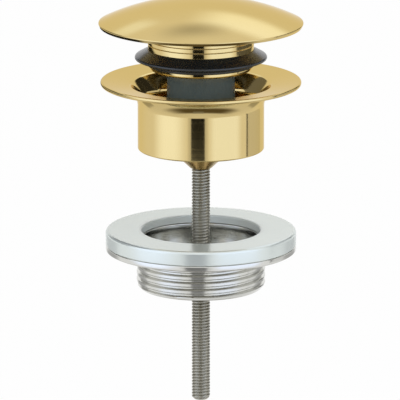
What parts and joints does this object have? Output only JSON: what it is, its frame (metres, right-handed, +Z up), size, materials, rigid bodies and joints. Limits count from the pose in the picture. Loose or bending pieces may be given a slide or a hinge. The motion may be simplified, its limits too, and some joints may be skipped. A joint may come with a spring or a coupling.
{
  "type": "pop up basin waste",
  "caption": "Pop up basin waste: domed push plug with a lip seal over a flanged cup, click cartridge inside, and a threaded tail piece clamped from below on a central rod.",
  "frame": {"origin": "on the common axis, at the upper end of the cup's straight outer wall, 7 mm under the flange's seat", "axes": "+Z up along the axis from the tail to the cap; the bar of the tail's bridge lies along Y"},
  "size_m": [0.0662, 0.0662, 0.1335],
  "materials": {
    "gold_brass": "polished gold plating",
    "plain_brass": "turned brass",
    "steel_rod": "rolled thread, bright zinc",
    "steel_small": "stainless",
    "spring_steel": "stainless wire",
    "black_plastic": "glossy moulded",
    "white_plastic": "acetal",
    "grey_plastic": "acetal",
    "black_rubber": "moulded rubber",
    "clear_silicone": "translucent silicone",
    "nickel_brass": "nickel plated"
  },
  "bodies": {
    "basin_body": {"flange_cup": "gold_brass", "hub_spider": "gold_brass", "threaded_rod": "steel_rod", "jam_nut": "steel_small", "cartridge_housing": "black_plastic", "spring_seat": "steel_small", "cam_sleeve": "white_plastic", "stop_washer": "steel_small", "stem_oring": "black_rubber", "return_spring": "spring_steel"},
    "plug": {"dome_cap": "gold_brass", "cap_stud": "steel_small", "plug_sleeve": "gold_brass", "lip_seal": "black_rubber", "seal_retainer": "gold_brass", "plunger": "plain_brass", "rotor_clip": "steel_small"},
    "rotor": {"cam_rotor": "grey_plastic"},
    "gasket": {"tail_gasket": "clear_silicone"},
    "tail": {"tail_body": "nickel_brass", "tail_bridge": "nickel_brass"}
  },
  "joints": [
    {"name": "plug_pop", "type": "slide", "parent": "basin_body", "child": "plug", "axis": [0, 0, 1], "range_m": [-0.01013, 0], "stiffness_N_per_m": 600, "springref_m": 0.012, "deforming": ["return_spring"]},
    {"name": "rotor_turn", "type": "hinge", "parent": "plug", "child": "rotor", "pos_m": [0, 0, 0], "axis": [0, 0, 1], "range_deg": [-0.5, 45.5]},
    {"name": "tail_travel", "type": "slide", "parent": "basin_body", "child": "gasket", "axis": [0, 0, 1], "range_m": [-0.038, 0.0265]},
    {"name": "tail_spin", "type": "hinge", "parent": "gasket", "child": "tail", "pos_m": [0, 0, -0.05], "axis": [0, 0, 1], "range_deg": [-13716, 9576]}
  ],
  "couplings": [
    {"joint": "rotor_turn", "follows": "plug_pop", "rad_per_m": -77.511},
    {"joint": "tail_spin", "follows": "tail_travel", "rad_per_m": 6283.2}
  ]
}
